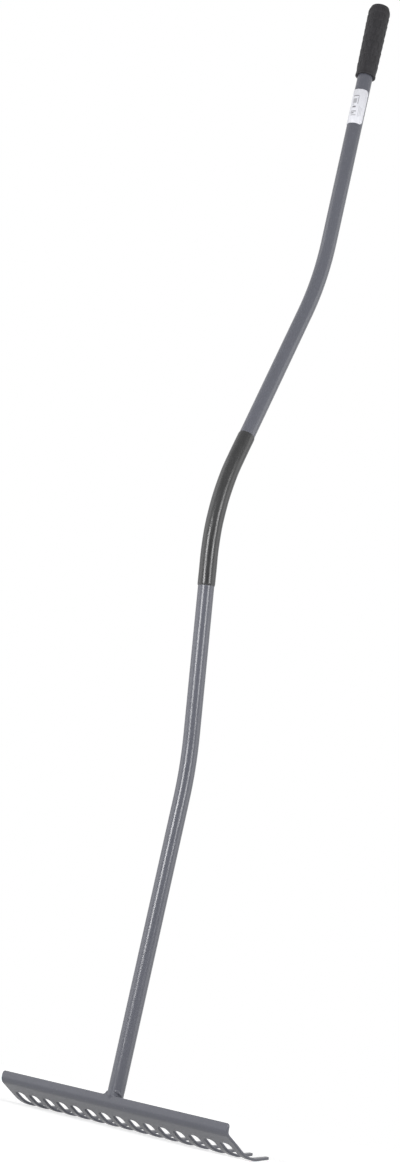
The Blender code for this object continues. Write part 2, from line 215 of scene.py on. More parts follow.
def powder_coat():
    """Satin grey polyester powder, baked on steel."""
    material, tree, shader, place = new_material("powder_coated_steel", {"IOR": 1.5})

    # Patterns on these coordinates are four times as long up the rake as across it
    along = add_node(tree, "Mapping", {"Vector": place, "Scale": (1, 1, 1 / 4)})

    # The tone: a slow drift along the tube, and small paler flecks
    drift = add_node(tree, "TexNoise", {"Vector": along, "Scale": 1 / DRIFT_SIZE, "Detail": 3})
    fleck = add_node(tree, "TexNoise", {"Vector": place, "Scale": 1 / FLECK_SIZE, "Detail": 3})
    tone_inputs = {FACTOR: drift, COLOUR_A: linear("4f5159"), COLOUR_B: linear("55565f")}
    tones = add_node(tree, "Mix", tone_inputs, data_type="RGBA").outputs[COLOUR_OUT]
    pale = add_node(tree, "MapRange", {"Value": fleck, "From Min": 0.55, "From Max": 0.8, "To Max": 0.5})
    fleck_inputs = {FACTOR: pale, COLOUR_A: tones, COLOUR_B: linear("65666d")}
    colour = add_node(tree, "Mix", fleck_inputs, data_type="RGBA").outputs[COLOUR_OUT]

    # The gloss drifts with the tone
    rough_range = {"From Min": 0.3, "From Max": 0.7, "To Min": 0.22, "To Max": 0.28}
    rough = add_node(tree, "MapRange", {"Value": drift, **rough_range})

    # The skin: orange peel on the wider wave
    wide = add_node(tree, "TexNoise", {"Vector": along, "Scale": 1 / WAVE_SIZE, "Detail": 1})
    peel = add_node(tree, "TexNoise", {"Vector": place, "Scale": 1 / PEEL_SIZE, "Detail": 1})
    waves = add_node(tree, "Bump", {"Height": wide, "Distance": WAVE_DEPTH})
    skin = add_node(tree, "Bump", {"Height": peel, "Distance": PEEL_DEPTH, "Normal": waves})
    fill_inputs(tree, shader, {"Base Color": colour, "Roughness": rough, "Normal": skin})
    return material


coat = powder_coat()
print("material made:", coat.name)

# %% [markdown]
# Helpers for meshes
#
# Most pieces are made from rings: a ring is a closed loop of points across the piece, and neighbouring rings
# are joined by quads. A curve with a bevel could draw a tube too, but rings also let a surface swell, ripple
# and end in a lip, and every point stays where a formula puts it. A finished piece is shaded smooth, with
# sharp edges where its faces meet at more than an angle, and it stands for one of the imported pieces.

# %% Rings
ARC_STEPS = 8


def full_turn(count):
    """Evenly spread angles round a full turn."""
    return np.arange(count) * 2 * math.pi / count


def quarter_turn(steps=ARC_STEPS):
    """Angles that rise in even steps to a quarter turn, without the first, which is zero."""
    return [math.pi / 2 * step / steps for step in range(1, steps + 1)]


def tube_ring(station, radii, turns):
    """A ring of points across the tube at a station; turns are measured from +X towards the back."""
    _, y, z, angle = station
    across = np.array([0.0, math.cos(angle), -math.sin(angle)])
    outward = np.cos(turns)[:, None] * np.array([1.0, 0.0, 0.0]) + np.sin(turns)[:, None] * across
    return np.array([0.0, y, z]) + np.reshape(radii, (-1, 1)) * outward


def join_rings(rings, closed=False):
    """Quads between neighbouring rings, and between the last and the first where the row is closed."""
    count = len(rings[0])
    starts = [index * count for index in range(len(rings))]
    if closed:
        starts.append(0)
    faces = []
    for low, high in zip(starts, starts[1:]):
        for side in range(count):
            after = (side + 1) % count
            faces.append((low + side, low + after, high + after, high + side))
    return faces


def end_faces(rings):
    """The first and the last ring, each as one face."""
    count = len(rings[0])
    return [tuple(range(start, start + count)) for start in (0, (len(rings) - 1) * count)]


def smooth_step(value, low, high):
    """Rises softly from 0 at low to 1 at high."""
    share = np.clip((value - low) / (high - low), 0.0, 1.0)
    return share * share * (3 - 2 * share)


print("a ring of 72 points has one every", round(math.degrees(full_turn(72)[1]), 3), "degrees")

# %% Adding and finishing a piece
def add_piece(name, points, faces):
    """A mesh object with its faces turned outward."""
    mesh = bpy.data.meshes.new(name)
    mesh.from_pydata([tuple(p) for p in points], [], faces)
    solid = bmesh.new()
    solid.from_mesh(mesh)
    bmesh.ops.recalc_face_normals(solid, faces=solid.faces)
    solid.to_mesh(mesh)
    solid.free()
    piece = bpy.data.objects.new(name, mesh)
    bpy.context.scene.collection.objects.link(piece)
    return piece


def add_solid(name, rings):
    """A mesh object from its rings, closed at both ends."""
    return add_piece(name, np.concatenate(rings), join_rings(rings) + end_faces(rings))


def settle_modifiers(piece):
    """Turns a piece's modifiers into plain mesh."""
    graph = bpy.context.evaluated_depsgraph_get()
    piece.data = bpy.data.meshes.new_from_object(piece.evaluated_get(graph))
    piece.modifiers.clear()


SMOOTH_ANGLE = 35


def finish_piece(piece, material, node, smooth_angle=SMOOTH_ANGLE):
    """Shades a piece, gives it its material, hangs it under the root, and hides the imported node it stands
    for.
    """
    mesh = piece.data
    mesh.shade_smooth()
    mesh.set_sharp_from_angle(angle=math.radians(smooth_angle))
    mesh.materials.clear()
    mesh.materials.append(material)
    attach(piece, "root")
    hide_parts(node)
    print(f"{piece.name}: {len(mesh.polygons)} faces in place of {node}")


print("faces that meet at more than", SMOOTH_ANGLE, "degrees keep a sharp edge, unless told otherwise")

# %% [markdown]
# The head's blank
#
# The whole head is one blank of 3.5 mm sheet steel, punched and pressed: an upright flange that stiffens it,
# a blade, and sixteen tines that taper to their tips and curve upward. It is modelled the way it is made.
# First comes the flat outline with its gaps, laid along the pressed section as a surface with no thickness.
# Solidify then gives it the thickness of the sheet, and a small Bevel rounds the punched edges. That rounding
# catches a fine line of light, which is what tells the eye how thick the steel is.

# %% The head's section
FLANGE_STRAIGHT = 8.1 * MM
FLANGE_BEND_RADIUS = 8 * MM
BLADE_DROP = 27.7
TINE_LIFT = 11.5
HEAD_LINE = [
    ("straight", FLANGE_STRAIGHT),
    ("bend", FLANGE_BEND_RADIUS, BLADE_DROP - 90),
    ("straight", 31.5 * MM),
    ("bend", 53 * MM, -BLADE_DROP - TINE_LIFT),
    ("straight", 19.5 * MM),
]
head_line = run_path(HEAD_LINE, (FOOT.y - FLANGE_SETBACK, FOOT.z), heading=180.0, degrees_per_step=3.0)
bend_end = FLANGE_STRAIGHT + FLANGE_BEND_RADIUS * math.radians(90 - BLADE_DROP)
tip_line = head_line[-1][0]
print("from the flange's edge to a tip along the sheet:", round(tip_line / MM), "mm")

# %% The outline of one tine and of one gap
TINE_COUNT = 16
TINE_PITCH = 27.25 * MM
TINE_BASE = 10.8 * MM
TINE_TIP = 6 * MM
TIP_ROUNDING, TIP_STEPS = 1.5 * MM, 5
ROOT_RADIUS = 5.5 * MM
BLADE_ABOVE_GAPS = 16.2 * MM
root_line = bend_end + BLADE_ABOVE_GAPS + ROOT_RADIUS

# Rows this close to the roots are left out; stations this close to an end of the bend count as that end
LEAST_ROW, LEAST_STEP = 0.1 * MM, 0.01 * MM


def tine_rows():
    """Half the width of a tine and the distance along the sheet, in rows from its base to its tip."""
    rows = [s[0] for s in head_line if root_line + LEAST_ROW < s[0] < tip_line - TIP_ROUNDING]
    rows.append(tip_line - TIP_ROUNDING)
    shares = [(distance - root_line) / (tip_line - root_line) for distance in rows]
    return [((TINE_BASE + (TINE_TIP - TINE_BASE) * share) / 2, row) for share, row in zip(shares, rows)]


def tip_arc(half):
    """The rounded corner of a tip, from its side to its end."""
    return [
        (half - TIP_ROUNDING * (1 - math.cos(turn)), tip_line - TIP_ROUNDING * (1 - math.sin(turn)))
        for turn in quarter_turn(TIP_STEPS)
    ]


def gap_arc(middle):
    """The round root of a gap, from the tine on its left to the tine on its right."""
    flat = (TINE_PITCH - TINE_BASE) / 2 - ROOT_RADIUS
    turns = quarter_turn()
    left = [(-flat - ROOT_RADIUS * math.cos(t), t) for t in turns]
    right = [(flat + ROOT_RADIUS * math.cos(t), t) for t in reversed(turns)]
    return [(middle + x, root_line - ROOT_RADIUS * math.sin(t)) for x, t in left + right]


print("a tine has", len(tine_rows()), "rows")

# %% The head's outline, laid along the section
FLANGE_CORNER = 4.5 * MM
HALF_WIDTH = (TINE_COUNT - 1) * TINE_PITCH / 2 + TINE_BASE / 2
TINE_CENTRES = [(number - (TINE_COUNT - 1) / 2) * TINE_PITCH for number in range(TINE_COUNT)]


def flange_corner():
    """The round top corner at the flange's right end."""
    return [
        (HALF_WIDTH - FLANGE_CORNER * (1 - math.cos(turn)), FLANGE_CORNER * (1 - math.sin(turn)))
        for turn in [0.0] + quarter_turn()
    ]


def head_surface():
    """Points and faces of the whole head as a sheet without thickness."""
    points, faces = [], []

    def place(x, distance):
        _, y, z, _ = station_at(head_line, distance)
        points.append((x, y, z))
        return len(points) - 1

    def both_ends(distance):
        return place(-HALF_WIDTH, distance), place(HALF_WIDTH, distance)

    # The flange
    above = both_ends(FLANGE_STRAIGHT)
    corner = flange_corner()
    top = [place(x, d) for x, d in corner] + [place(-x, d) for x, d in reversed(corner)]
    faces.append((*above, *top))

    # The bend between flange and blade
    for station in head_line:
        if FLANGE_STRAIGHT + LEAST_STEP < station[0] < bend_end + LEAST_STEP:
            below = both_ends(station[0])
            faces.append((above[0], above[1], below[1], below[0]))
            above = below

    # The blade, down to the line where the tines begin
    bases = [(place(c - TINE_BASE / 2, root_line), place(c + TINE_BASE / 2, root_line)) for c in TINE_CENTRES]
    outline = [above[1], above[0]]
    for centre, base in zip(TINE_CENTRES, bases):
        outline += base
        if centre != TINE_CENTRES[-1]:
            outline += [place(x, d) for x, d in gap_arc(centre + TINE_PITCH / 2)]
    faces.append(tuple(outline))

    # The tines
    rows = tine_rows()
    arc = tip_arc(rows[-1][0])
    for centre, (left, right) in zip(TINE_CENTRES, bases):
        for half, distance in rows:
            lower_left, lower_right = place(centre - half, distance), place(centre + half, distance)
            faces.append((left, right, lower_right, lower_left))
            left, right = lower_left, lower_right
        right_side = [place(centre + x, d) for x, d in arc]
        left_side = [place(centre - x, d) for x, d in reversed(arc)]
        faces.append((left, right, *right_side, *left_side))
    return points, faces


print("the head is", round(2 * HALF_WIDTH / MM, 1), "mm wide")

# %% The head as sheet steel
EDGE_ROUNDING = 0.7 * MM


def make_head():
    """Thickens the outline to the sheet, rounds its punched edges and keeps its flat faces flat."""
    head = add_piece("pressed_head", *head_surface())
    thick = head.modifiers.new("sheet", "SOLIDIFY")
    thick.thickness, thick.offset, thick.use_even_offset = SHEET, 0.0, True
    rounded = head.modifiers.new("punched edges", "BEVEL")
    rounded.width, rounded.segments = EDGE_ROUNDING, 3
    rounded.limit_method, rounded.angle_limit = "ANGLE", math.radians(50)
    settle_modifiers(head)
    finish_piece(head, coat, "rake_head", smooth_angle=50)
    head.modifiers.new("flat faces stay flat", "WEIGHTED_NORMAL").keep_sharp = True


make_head()

# %% [markdown]
# The shaft and its coped foot
#
# The shaft is one round tube of 22 mm with a 1.5 mm wall. Its foot stands over the flange's edge and against
# the hollow face of the blade behind it, so a fitter cuts it to that line, which is called coping. Here the
# tube is a closed sweep with its bore, and a prism that follows the sheet's hollow face cuts the foot away.

# %% The shaft
TUBE_RADIUS = 11.0 * MM
TUBE_WALL = 1.5 * MM
TUBE_SIDES = 72
SPARE_FOOT = 40 * MM


def sweep_tube():
    """The bent tube with its bore, and with spare length at its foot."""
    turns = full_turn(TUBE_SIDES)
    line = [(-SPARE_FOOT, FOOT.y, FOOT.z - SPARE_FOOT, 0.0)] + shaft_line[1:]
    rings = [tube_ring(station, TUBE_RADIUS, turns) for station in line]
    rings += [tube_ring(station, TUBE_RADIUS - TUBE_WALL, turns) for station in reversed(line)]
    return add_piece("bent_shaft", np.concatenate(rings), join_rings(rings, closed=True))


shaft = sweep_tube()
print("the tube is", round(2 * TUBE_RADIUS / MM), "mm across")

# %% Coping the foot
def hollow_face(last_y):
    """The (y, z) line of the sheet's hollow face, from the flange's top edge until it has passed last_y."""
    line = []
    for _, y, z, angle in head_line:
        line.append((y - math.cos(angle) * SHEET / 2, z + math.sin(angle) * SHEET / 2))
        if line[-1][0] > last_y:
            break
    return line


def cope_foot(tube):
    """Cuts away what lies below the flange's edge and the hollow face."""
    seat = hollow_face(FOOT.y + 2 * TUBE_RADIUS)
    outer_y, below = FOOT.y - 2 * TUBE_RADIUS, FOOT.z - 2 * SPARE_FOOT
    outline = [(outer_y, FOOT.z), *seat, (seat[-1][0], below), (outer_y, below)]
    prism = add_solid("cope", [[(x, y, z) for y, z in outline] for x in (-2 * TUBE_RADIUS, 2 * TUBE_RADIUS)])
    cut = tube.modifiers.new("cope", "BOOLEAN")
    cut.object, cut.solver = prism, "EXACT"
    settle_modifiers(tube)
    bpy.data.objects.remove(prism)


cope_foot(shaft)
finish_piece(shaft, coat, "shaft_tube")

# %% [markdown]
# Weld beads
#
# A weld is a row of small frozen pools, each a crescent that laps over the one before, and the powder coat
# lies over it as over all the steel. Two welds hold the shaft. The one on the flange's edge is dressed
# smooth: under the shaft's front it is a thin fillet, on the left it climbs the tube as a small hollow flare,
# and only its right end is left rough, as a lap that wraps round the shaft. The other weld fills the corner
# between the coped foot and the blade. A bead is rings of points along its path, and its crescents come from
# a rounded saw-tooth in the ring's width, one tooth for each pool.

# %% Weld beads
POOL_LENGTH = 1.7 * MM
POOL_DEPTH = 0.16
BEAD_STEP = 0.25 * MM
BEAD_SIDES = 20


def pool(distance):
    """How wide a bead is at a distance along it, as a share of its full width: one step for each pool."""
    phase = (distance / POOL_LENGTH) % 1.0
    return 1 - POOL_DEPTH * phase**2


def rippled_bead(name, middles, sizes, outwards):
    """A bead of upright oval rings round the middles, with their two radii outward and upward."""
    turns = full_turn(BEAD_SIDES)
    travelled = 0.0
    rings = []
    for index, (middle, size, outward) in enumerate(zip(middles, sizes, outwards)):
        if index:
            travelled += (middle - middles[index - 1]).length
        swell = pool(travelled)
        wide, tall = np.cos(turns) * size[0] * swell, np.sin(turns) * size[1] * swell
        rings.append(np.array(middle) + (np.outer(wide, outward) + np.outer(tall, (0, 0, 1))))
    return add_solid(name, rings)


print("a pool is", round(POOL_LENGTH / MM, 1), "mm long")

# %% The weld on the flange's edge
LEFT_CLIMB = 5.2 * MM
RIGHT_CLIMB = 1.2 * MM
FLARE_START = 8.5 * MM
WELD_RUN = 4 * MM
FILLET_SLOPE = 4
FILLET_REACH = 5 * MM
FILLET_SHARE = 0.35
END_SHARE = 0.04
FILM = 0.04 * MM
FILM_BELOW = 0.1 * MM
FLARE_BLEND = 1 * MM
FRONT_STEPS = 11
TOP_STEPS = 10
flange_front = FLANGE_SETBACK + SHEET / 2
flange_back = FLANGE_SETBACK - SHEET / 2
reach = math.sqrt(TUBE_RADIUS**2 - flange_back**2) + WELD_RUN


def edge_ring(x):
    """A ring of the weld at a distance from the middle: up its front, then down its back."""
    side = abs(x)
    climb = LEFT_CLIMB if x < 0 else RIGHT_CLIMB
    tube_front = math.sqrt(max(0.0, TUBE_RADIUS**2 - side**2))
    out = max(0.0, side - FLARE_START) / (reach - FLARE_START)
    rise = FILLET_SHARE + (1 - FILLET_SHARE) * smooth_step(side, FILLET_REACH, FLARE_START)
    top = climb * max(END_SHARE, (1 - out) ** 2) * rise
    proud = max(0.0, tube_front - flange_front)
    bottom = FILLET_SLOPE * proud + FILM_BELOW
    seat = min(flange_front, max(tube_front, FLANGE_SETBACK))
    flared = smooth_step(side, FLARE_START - FLARE_BLEND, FLARE_START + FLARE_BLEND)
    front, back = [], []

    # The front below the flange's edge, a hollow that ends as a film on the flange
    for step in range(FRONT_STEPS + 1):
        share = step / FRONT_STEPS
        front.append((flange_front + FILM + proud * share**2, -bottom * (1 - share)))

    # Above the edge, hollow under the shaft and round where the weld stands free
    for step in range(1, TOP_STEPS + 1):
        share = step / TOP_STEPS
        round_share = math.sqrt(1 - share**2)
        slope = (1 - flared) * (1 - share) ** 2 + flared * round_share
        front.append((seat + (flange_front + FILM + proud - seat) * slope, top * share))
        back.append((FLANGE_SETBACK + (flange_back - FLANGE_SETBACK) * round_share, top * share))
    ring = front + back[::-1] + [(flange_back, -bottom)]
    return [(x, FOOT.y - y, FOOT.z + z) for y, z in ring]


edge_steps = round(2 * reach / BEAD_STEP)
edge_rings = [edge_ring(-reach + 2 * reach * step / edge_steps) for step in range(edge_steps + 1)]
edge_weld = add_solid("edge_weld_bead", edge_rings)
print("the weld on the edge is", round(2 * reach / MM, 1), "mm long")

# %% The lap at the shaft's right side
LAP_SIZE = (1.7 * MM, 2.7 * MM)
LAP_FROM, LAP_TO = math.radians(-56), math.radians(6)
LAP_HIGH, LAP_LOW = 6.4 * MM, 1.8 * MM
LAP_LEVEL = 0.2
LAP_THIN_END = 0.06


def lap_rings():
    """The bead's end that wraps from the flange's edge round the shaft's side and runs down behind it."""
    steps = round((LAP_TO - LAP_FROM) * TUBE_RADIUS / BEAD_STEP)
    middles, sizes, outwards = [], [], []
    for step in range(steps + 1):
        share = step / steps
        turn = LAP_FROM + (LAP_TO - LAP_FROM) * share
        outward = Vector((math.cos(turn), math.sin(turn), 0.0))
        lift = LAP_HIGH + (LAP_LOW - LAP_HIGH) * smooth_step(share, LAP_LEVEL, 1.0)
        taper = max(LAP_THIN_END, 1 - abs(2 * share - 1) ** 3) ** 0.5
        middles.append(FOOT + outward * TUBE_RADIUS + Vector((0.0, 0.0, lift)))
        sizes.append((LAP_SIZE[0] * taper, LAP_SIZE[1] * taper))
        outwards.append(outward)
    return middles, sizes, outwards


def join_pieces(piece, other):
    """Adds the other piece's mesh to the first piece."""
    both = bmesh.new()
    both.from_mesh(piece.data)
    both.from_mesh(other.data)
    both.to_mesh(piece.data)
    both.free()
    bpy.data.objects.remove(other)


join_pieces(edge_weld, rippled_bead("lap", *lap_rings()))
finish_piece(edge_weld, coat, "edge_weld", smooth_angle=60)

# %% The weld round the foot
FOOT_BEAD = 2.0 * MM
PAST_SIDE = math.radians(8)


def foot_bead_path():
    """Middles and outward directions along the corner between foot and blade, round its far half."""
    slope = math.radians(BLADE_DROP)
    flat_y, flat_z = hollow_face(FOOT.y + 2 * TUBE_RADIUS)[-1]
    radius = TUBE_RADIUS + FOOT_BEAD
    arc = radius * (math.pi + 2 * PAST_SIDE)
    steps = round(arc / BEAD_STEP)
    middles, outwards = [], []
    for step in range(steps + 1):
        turn = -PAST_SIDE + (math.pi + 2 * PAST_SIDE) * step / steps
        outward = Vector((math.cos(turn), math.sin(turn), 0.0))
        y = FOOT.y + outward.y * radius
        z = flat_z - math.tan(slope) * (y - flat_y) + FOOT_BEAD / math.cos(slope)
        middles.append(Vector((outward.x * radius, y, z)))
        outwards.append(outward)
    return middles, outwards


middles, outwards = foot_bead_path()
foot_weld = rippled_bead("foot_weld_bead", middles, [(FOOT_BEAD, FOOT_BEAD)] * len(middles), outwards)
finish_piece(foot_weld, coat, "foot_weld", smooth_angle=60)

# %% [markdown]
# Heat-shrunk sleeve
#
# The black sleeve over the middle bend is a length of polyolefin tube that shrinks on to the steel when it is
# heated. It is under a millimetre thick, follows every wave of what lies under it, and draws in at its two
# cut ends. The draw of the heating leaves faint streaks along it. It shows as satin black with long soft
# highlights, so its noise is drawn out along the tube. The shape is a sweep along the shaft's own line, with
# a slow wave round it that stays inside the sleeve's thickness.

# %% Shrunk polyolefin
STREAK_SIZE, STREAK_DEPTH = 2.2 * MM, 0.03 * MM
BLOTCH_SIZE, BLOTCH_DEPTH = 18 * MM, 0.25 * MM


def shrunk_polyolefin():
    """Satin black plastic with faint streaks, fourteen times as long up the rake as across it."""
    material, tree, shader, place = new_material("heat_shrunk_polyolefin", {"IOR": 1.5})
    along = add_node(tree, "Mapping", {"Vector": place, "Scale": (1, 1, 1 / 14)})
    streak = add_node(tree, "TexNoise", {"Vector": along, "Scale": 1 / STREAK_SIZE, "Detail": 2})
    blotch = add_node(tree, "TexNoise", {"Vector": place, "Scale": 1 / BLOTCH_SIZE, "Detail": 3})
    shade = add_node(tree, "MapRange", {"Value": streak, "From Min": 0.35, "From Max": 0.7})
    black_inputs = {FACTOR: shade, COLOUR_A: linear("202021"), COLOUR_B: linear("2a2a2b")}
    colour = add_node(tree, "Mix", black_inputs, data_type="RGBA").outputs[COLOUR_OUT]
    rough_range = {"From Min": 0.3, "From Max": 0.7, "To Min": 0.22, "To Max": 0.32}
    rough = add_node(tree, "MapRange", {"Value": blotch, **rough_range})
    waves = add_node(tree, "Bump", {"Height": blotch, "Distance": BLOTCH_DEPTH})
    drawn = add_node(tree, "Bump", {"Height": streak, "Distance": STREAK_DEPTH, "Normal": waves})
    fill_inputs(tree, shader, {"Base Color": colour, "Roughness": rough, "Normal": drawn})
    return material


shrink = shrunk_polyolefin()
print("material made:", shrink.name)

# %% Where the sleeve sits
SLEEVE_WALL = 0.7 * MM
FIT = 0.3 * MM
sleeve_radius = TUBE_RADIUS + FIT + SLEEVE_WALL
sleeve_low, sleeve_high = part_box("hand_sleeve")


def distance_at_height(height):
    """How far along the shaft its line reaches a height."""
    for before, after in zip(shaft_line, shaft_line[1:]):
        if before[2] <= height <= after[2]:
            return before[0] + (after[0] - before[0]) * (height - before[2]) / (after[2] - before[2])
    return shaft_line[-1][0]


# Its ends are cut square to the leaning tube, so its lowest and highest points lie on the rims, off the line
sleeve_start = distance_at_height(sleeve_low.z + sleeve_radius * math.sin(math.radians(LOWER_LEAN)))
sleeve_end = distance_at_height(sleeve_high.z - sleeve_radius * math.sin(math.radians(UPPER_LEAN)))
print("the sleeve is", round((sleeve_end - sleeve_start) / MM), "mm long")

# %% The sleeve
SLEEVE_SIDES = 96
SLEEVE_STEP = 1.5 * MM
RIM_ROUNDING, RIM_LENGTH = 0.5 * MM, 0.8 * MM
SLEEVE_WAVE, WAVE_ROOM = 0.07 * MM, 0.12 * MM
WAVES_ROUND, WAVE_TWIST, WAVE_SWELL = 3, 9 * MM, 23 * MM


def make_sleeve():
    """A thin skin round the bend, rounded at its two rims, with a slow wave round it."""
    turns = full_turn(SLEEVE_SIDES)
    steps = round((sleeve_end - sleeve_start) / SLEEVE_STEP)
    rings = [tube_ring(station_at(shaft_line, sleeve_start), TUBE_RADIUS, turns)]
    for step in range(steps + 1):
        distance = sleeve_start + (sleeve_end - sleeve_start) * step / steps
        from_rim = min(distance - sleeve_start, sleeve_end - distance)
        rounding = RIM_ROUNDING * math.exp(-from_rim / RIM_LENGTH)
        wave = np.sin(WAVES_ROUND * turns + distance / WAVE_TWIST) * np.sin(distance / WAVE_SWELL)
        radii = sleeve_radius - WAVE_ROOM - rounding + SLEEVE_WAVE * wave
        rings.append(tube_ring(station_at(shaft_line, distance), radii, turns))
    rings.append(tube_ring(station_at(shaft_line, sleeve_end), TUBE_RADIUS, turns))
    sleeve = add_piece("shrunk_sleeve", np.concatenate(rings), join_rings(rings))
    finish_piece(sleeve, shrink, "hand_sleeve", smooth_angle=50)


make_sleeve()

# %% [markdown]
# Moulded rubber grip
#
# The grip is moulded in black rubber and pushed over the end of the tube. Rows of raised pads give the hand
# a hold; each pad is a wedge, highest at its upper end and running out to nothing below, and every second
# row is staggered. Under the domed cap is a ring of short ribs, and the open end has a thin lip. All of it is
# one surface: a radius for each height and turn, so the pads are real shape and also show in the outline.
# Rubber from a mould is matt, with a faint bloom where fillers come to the surface. The mould's own grain is
# finer than a tenth of a millimetre and is drawn nine times coarser, so that it shows.

# %% Moulded rubber
GRAIN_SIZE, GRAIN_DEPTH = 0.9 * MM, 0.05 * MM
BLOOM_SIZE = 6 * MM


def moulded_rubber():
    """Matt black rubber, with a bloom that is drawn out up the grip."""
    material, tree, shader, place = new_material("moulded_rubber", {"IOR": 1.52, "Specular IOR Level": 0.3})
    grain = add_node(tree, "TexNoise", {"Vector": place, "Scale": 1 / GRAIN_SIZE, "Detail": 3})
    along = add_node(tree, "Mapping", {"Vector": place, "Scale": (1, 1, 1 / 4)})
    bloom = add_node(tree, "TexNoise", {"Vector": along, "Scale": 1 / BLOOM_SIZE, "Detail": 4})
    haze = add_node(tree, "MapRange", {"Value": bloom, "From Min": 0.45, "From Max": 0.75})
    black_inputs = {FACTOR: haze, COLOUR_A: linear("1e1d20"), COLOUR_B: linear("2b2a2d")}
    colour = add_node(tree, "Mix", black_inputs, data_type="RGBA").outputs[COLOUR_OUT]
    rough_range = {"From Min": 0.3, "From Max": 0.7, "To Min": 0.5, "To Max": 0.64}
    rough = add_node(tree, "MapRange", {"Value": bloom, **rough_range})
    skin = add_node(tree, "Bump", {"Height": grain, "Distance": GRAIN_DEPTH})
    fill_inputs(tree, shader, {"Base Color": colour, "Roughness": rough, "Normal": skin})
    return material


rubber = moulded_rubber()
print("material made:", rubber.name)

# %% The grip's plain shape
GRIP_OPEN_RADIUS = 14.2 * MM
GRIP_SHOULDER_RADIUS = 15.5 * MM
CAP_RADIUS = 13.4 * MM
CAP_LENGTH = 12.5 * MM
CAP_CORNER = 1.4 * MM
CROWN_RISE = 2 * MM
LIP_LENGTH = 4 * MM
LIP_RISE = 0.6 * MM
grip_low, grip_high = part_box("end_grip")
grip_length = grip_high.z - grip_low.z
shoulder = grip_length - CAP_LENGTH
cap_corner = grip_length - CROWN_RISE - CAP_CORNER


def plain_radius(height):
    """The grip's radius without pads: a slow flare, a lip at the open end and a cap that draws in."""
    if height <= shoulder:
        lip = max(0.0, 1 - height / LIP_LENGTH)
        flare = (GRIP_SHOULDER_RADIUS - GRIP_OPEN_RADIUS) * height / shoulder
        return GRIP_OPEN_RADIUS + flare + LIP_RISE * lip**0.5
    share = (height - shoulder) / (cap_corner - shoulder)
    return GRIP_SHOULDER_RADIUS + (CAP_RADIUS - GRIP_SHOULDER_RADIUS) * share**1.5


print("the grip is", round(grip_length / MM, 1), "mm long")

# %% The pads
PAD_COLUMNS = 12
PAD_ROWS = 8
PAD_RISE = 0.75 * MM
PAD_MARGIN = 5 * MM

# As shares of a column's width
PAD_WIDTH, PAD_WIDENS, PAD_SIDE_SLOPE = 0.62, 0.22, 0.16

# As shares of a row's height, and of the full rise
PAD_START, LEDGE_FROM, LEDGE_TO = 0.12, 0.86, 0.95
PAD_LOW_RISE = 0.35


def pad_rise(height, turns):
    """How far the pads stand out at a height, for each turn."""
    first, last = LIP_LENGTH + PAD_MARGIN, shoulder - PAD_MARGIN
    if not first < height < last:
        return np.zeros_like(turns)
    along = (height - first) / (last - first) * PAD_ROWS
    row, share = int(along), along % 1.0
    column = (turns / (2 * math.pi) * PAD_COLUMNS + 0.5 * (row % 2)) % 1.0
    off_middle = np.abs(column - 0.5) * 2
    width = PAD_WIDTH + PAD_WIDENS * share
    sides = 1 - smooth_step(off_middle, width - PAD_SIDE_SLOPE, width)
    ledge = 1 - smooth_step(share, LEDGE_FROM, LEDGE_TO)
    wedge = PAD_LOW_RISE + (1 - PAD_LOW_RISE) * share
    start = smooth_step(share, 0.0, PAD_START)
    return PAD_RISE * sides * ledge * wedge * start


print(PAD_COLUMNS * PAD_ROWS, "pads")

# %% The ribs under the cap
RIB_COUNT = 36
RIB_RISE = 0.45 * MM
RIBS_START, RIBS_UP = 2.5 * MM, 1.5 * MM
RIBS_DOWN, RIBS_END = 5.5 * MM, 7 * MM
RIB_POWER = 0.7


def rib_rise(height, turns):
    """How far the short ribs stand out; they start and are up below the shoulder, and run out above it."""
    band = smooth_step(height, shoulder - RIBS_START, shoulder - RIBS_UP)
    band *= 1 - smooth_step(height, shoulder + RIBS_DOWN, shoulder + RIBS_END)
    return RIB_RISE * band * (0.5 + 0.5 * np.cos(RIB_COUNT * turns)) ** RIB_POWER


print(RIB_COUNT, "ribs")

# %% The grip
GRIP_SIDES = 288
GRIP_STEP = 0.45 * MM
CROWN_STEPS = 12
MOUTH_DEPTH = 12 * MM
MOUTH_BREAK = 0.3 * MM
RIM_BREAK = 0.35 * MM


def make_grip():
    """One skin from inside the bore, round the lip and up over the pads to the middle of the crown."""
    turns = full_turn(GRIP_SIDES)
    rings = []

    def ring(radii, height):
        rings.append(tube_ring((0.0, top_y, grip_low.z + height, 0.0), radii, turns))

    # The mouth, from inside the bore out to the lip
    bore = TUBE_RADIUS + FIT
    ring(bore, MOUTH_DEPTH)
    ring(bore, MOUTH_BREAK)
    ring(bore + MOUTH_BREAK, 0.0)
    ring(plain_radius(0) - RIM_BREAK, 0.0)

    # The body with its pads and ribs
    for height in list(np.arange(0.0, cap_corner, GRIP_STEP))[1:] + [cap_corner]:
        ring(plain_radius(height) + pad_rise(height, turns) + rib_rise(height, turns), height)

    # The cap's round corner and its shallow crown
    crown_radius = CAP_RADIUS - CAP_CORNER
    for turn in quarter_turn():
        ring(crown_radius + CAP_CORNER * math.cos(turn), cap_corner + CAP_CORNER * math.sin(turn))
    for step in range(1, CROWN_STEPS):
        share = 1 - step / CROWN_STEPS
        ring(crown_radius * share, grip_length - CROWN_RISE * share**2)

    top = end_faces(rings)[-1]
    grip = add_piece("rubber_grip", np.concatenate(rings), join_rings(rings) + [top])
    finish_piece(grip, rubber, "end_grip", smooth_angle=70)


make_grip()

# %% [markdown]
# Paper label
#
# A self-adhesive paper label is wrapped round the shaft below the grip, with round corners and a gap at the
# back of the wrap. Coated paper is bright, slightly cool and a little glossy. Its fibres are far finer than
# a millimetre and show only as a faint cloudiness, drawn a millimetre wide. Its print is left generic:
# plain grey rules, blocks and upright lines, placed by how far round the shaft and how high up a point is.
# The round corners are cut by giving each column of the sheet its own lower and upper edge.

